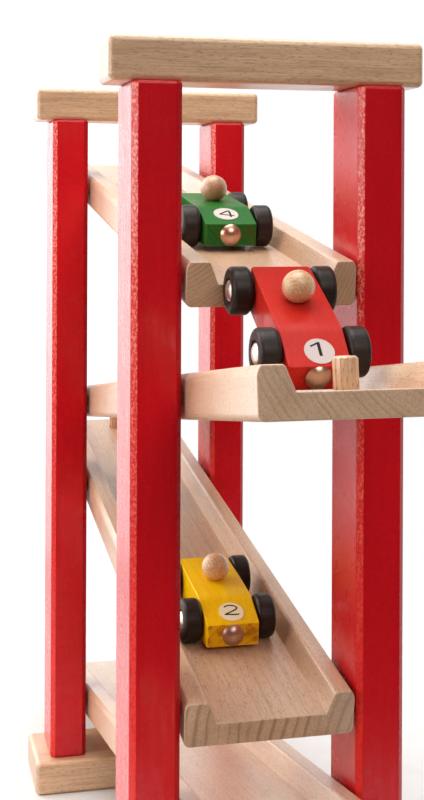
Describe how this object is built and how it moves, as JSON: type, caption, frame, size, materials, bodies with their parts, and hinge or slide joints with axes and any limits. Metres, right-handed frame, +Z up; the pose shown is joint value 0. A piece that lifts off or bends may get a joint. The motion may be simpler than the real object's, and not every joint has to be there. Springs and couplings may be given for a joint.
{
  "type": "wooden toy race track",
  "caption": "Zigzag tower of sloping channel ramps between lacquered posts; small wooden racing cars roll down, drop nose first to the ramp below and leave at the foot.",
  "frame": {"origin": "on the table under the middle of the tower", "axes": "+X across the width to the right, +Y along the length away from the end where the first ramp lets the cars drop, +Z up"},
  "size_m": [0.126, 0.4828, 0.386],
  "materials": {
    "red_lacquer": "deep red gloss lacquer on smooth hardwood, with a faint orange-peel surface",
    "beech_frame": "clear satin oil on beech boards, eased edges",
    "beech_ramp": "clear satin oil on pale beech with fine dark flecks, darker end grain",
    "dowel_wood": "plain fluted hardwood dowel",
    "green_paint": "thin satin green stain with the wood grain showing through",
    "yellow_paint": "thin satin yellow stain with the wood grain showing through",
    "red_paint": "thin satin red stain with the wood grain showing through",
    "ball_wood": "clear satin oil on a turned bead",
    "wheel_wood": "very dark brown satin stain on turned hardwood",
    "axle_steel": "plain drawn steel rod",
    "dome_metal": "bright nickel-plated steel with a warm tinge",
    "number_label": "matt white self-adhesive label with a thin dark numeral"
  },
  "bodies": {
    "tower": {"post_near_left": "red_lacquer", "post_near_right": "red_lacquer", "post_far_left": "red_lacquer", "post_far_right": "red_lacquer", "top_beam_near": "beech_frame", "top_beam_far": "beech_frame", "foot_beam_near": "beech_frame", "foot_beam_far": "beech_frame", "frame_dowels": "dowel_wood", "ramp_1": "beech_ramp", "ramp_dowels_1": "dowel_wood", "ramp_2": "beech_ramp", "ramp_dowels_2": "dowel_wood", "ramp_peg_2": "dowel_wood", "ramp_3": "beech_ramp", "ramp_dowels_3": "dowel_wood", "ramp_peg_3": "dowel_wood", "ramp_4": "beech_ramp", "ramp_dowels_4": "dowel_wood", "ramp_peg_4": "dowel_wood"},
    "green_car": {"green_car_body": "green_paint", "green_car_driver": "ball_wood", "green_car_nose_tack": "dome_metal", "green_car_number_disc": "number_label", "green_car_axles": "axle_steel", "green_car_axle_caps": "dome_metal"},
    "yellow_car": {"yellow_car_body": "yellow_paint", "yellow_car_driver": "ball_wood", "yellow_car_nose_tack": "dome_metal", "yellow_car_number_disc": "number_label", "yellow_car_axles": "axle_steel", "yellow_car_axle_caps": "dome_metal"},
    "red_car": {"red_car_body": "red_paint", "red_car_driver": "ball_wood", "red_car_nose_tack": "dome_metal", "red_car_number_disc": "number_label", "red_car_axles": "axle_steel", "red_car_axle_caps": "dome_metal"},
    "green_wheel_front_left": {"green_car_wheel_front_left": "wheel_wood"},
    "green_wheel_front_right": {"green_car_wheel_front_right": "wheel_wood"},
    "green_wheel_rear_left": {"green_car_wheel_rear_left": "wheel_wood"},
    "green_wheel_rear_right": {"green_car_wheel_rear_right": "wheel_wood"},
    "yellow_wheel_front_left": {"yellow_car_wheel_front_left": "wheel_wood"},
    "yellow_wheel_front_right": {"yellow_car_wheel_front_right": "wheel_wood"},
    "yellow_wheel_rear_left": {"yellow_car_wheel_rear_left": "wheel_wood"},
    "yellow_wheel_rear_right": {"yellow_car_wheel_rear_right": "wheel_wood"},
    "red_wheel_front_left": {"red_car_wheel_front_left": "wheel_wood"},
    "red_wheel_front_right": {"red_car_wheel_front_right": "wheel_wood"},
    "red_wheel_rear_left": {"red_car_wheel_rear_left": "wheel_wood"},
    "red_wheel_rear_right": {"red_car_wheel_rear_right": "wheel_wood"}
  },
  "joints": [
    {"name": "green_roll", "type": "slide", "parent": "tower", "child": "green_car", "axis": [0, -0.9893, -0.1461], "range_m": [-0.2565, 0.063]},
    {"name": "yellow_roll", "type": "slide", "parent": "tower", "child": "yellow_car", "axis": [0, -0.9893, -0.1461], "range_m": [-0.2475, 0.0518]},
    {"name": "red_tip", "type": "hinge", "parent": "tower", "child": "red_car", "pos_m": [0, -0.19441, 0.27729], "axis": [-1, 0, 0], "range_deg": [0, 36.13]},
    {"name": "green_wheel_front_left_spin", "type": "hinge", "parent": "green_car", "child": "green_wheel_front_left", "pos_m": [-0.01595, -0.06266, 0.31275], "axis": [1, 0, 0], "continuous": true},
    {"name": "green_wheel_front_right_spin", "type": "hinge", "parent": "green_car", "child": "green_wheel_front_right", "pos_m": [0.01635, -0.06266, 0.31275], "axis": [1, 0, 0], "continuous": true},
    {"name": "green_wheel_rear_left_spin", "type": "hinge", "parent": "green_car", "child": "green_wheel_rear_left", "pos_m": [-0.01595, -0.02131, 0.31885], "axis": [1, 0, 0], "continuous": true},
    {"name": "green_wheel_rear_right_spin", "type": "hinge", "parent": "green_car", "child": "green_wheel_rear_right", "pos_m": [0.01635, -0.02131, 0.31885], "axis": [1, 0, 0], "continuous": true},
    {"name": "yellow_wheel_front_left_spin", "type": "hinge", "parent": "yellow_car", "child": "yellow_wheel_front_left", "pos_m": [-0.01715, -0.07374, 0.14471], "axis": [1, 0, 0], "continuous": true},
    {"name": "yellow_wheel_front_right_spin", "type": "hinge", "parent": "yellow_car", "child": "yellow_wheel_front_right", "pos_m": [0.01515, -0.07374, 0.14471], "axis": [1, 0, 0], "continuous": true},
    {"name": "yellow_wheel_rear_left_spin", "type": "hinge", "parent": "yellow_car", "child": "yellow_wheel_rear_left", "pos_m": [-0.01715, -0.03239, 0.15082], "axis": [1, 0, 0], "continuous": true},
    {"name": "yellow_wheel_rear_right_spin", "type": "hinge", "parent": "yellow_car", "child": "yellow_wheel_rear_right", "pos_m": [0.01515, -0.03239, 0.15082], "axis": [1, 0, 0], "continuous": true},
    {"name": "red_wheel_front_left_spin", "type": "hinge", "parent": "red_car", "child": "red_wheel_front_left", "pos_m": [-0.01615, -0.18663, 0.27044], "axis": [1, 0, 0], "continuous": true},
    {"name": "red_wheel_front_right_spin", "type": "hinge", "parent": "red_car", "child": "red_wheel_front_right", "pos_m": [0.01615, -0.18663, 0.27044], "axis": [1, 0, 0], "continuous": true},
    {"name": "red_wheel_rear_left_spin", "type": "hinge", "parent": "red_car", "child": "red_wheel_rear_left", "pos_m": [-0.01615, -0.14963, 0.2899], "axis": [1, 0, 0], "continuous": true},
    {"name": "red_wheel_rear_right_spin", "type": "hinge", "parent": "red_car", "child": "red_wheel_rear_right", "pos_m": [0.01615, -0.14963, 0.2899], "axis": [1, 0, 0], "continuous": true}
  ],
  "couplings": [
    {"joint": "green_wheel_front_left_spin", "follows": "green_roll", "rad_per_m": 109.89},
    {"joint": "green_wheel_front_right_spin", "follows": "green_roll", "rad_per_m": 109.89},
    {"joint": "green_wheel_rear_left_spin", "follows": "green_roll", "rad_per_m": 109.89},
    {"joint": "green_wheel_rear_right_spin", "follows": "green_roll", "rad_per_m": 109.89},
    {"joint": "yellow_wheel_front_left_spin", "follows": "yellow_roll", "rad_per_m": 109.89},
    {"joint": "yellow_wheel_front_right_spin", "follows": "yellow_roll", "rad_per_m": 109.89},
    {"joint": "yellow_wheel_rear_left_spin", "follows": "yellow_roll", "rad_per_m": 109.89},
    {"joint": "yellow_wheel_rear_right_spin", "follows": "yellow_roll", "rad_per_m": 109.89}
  ]
}
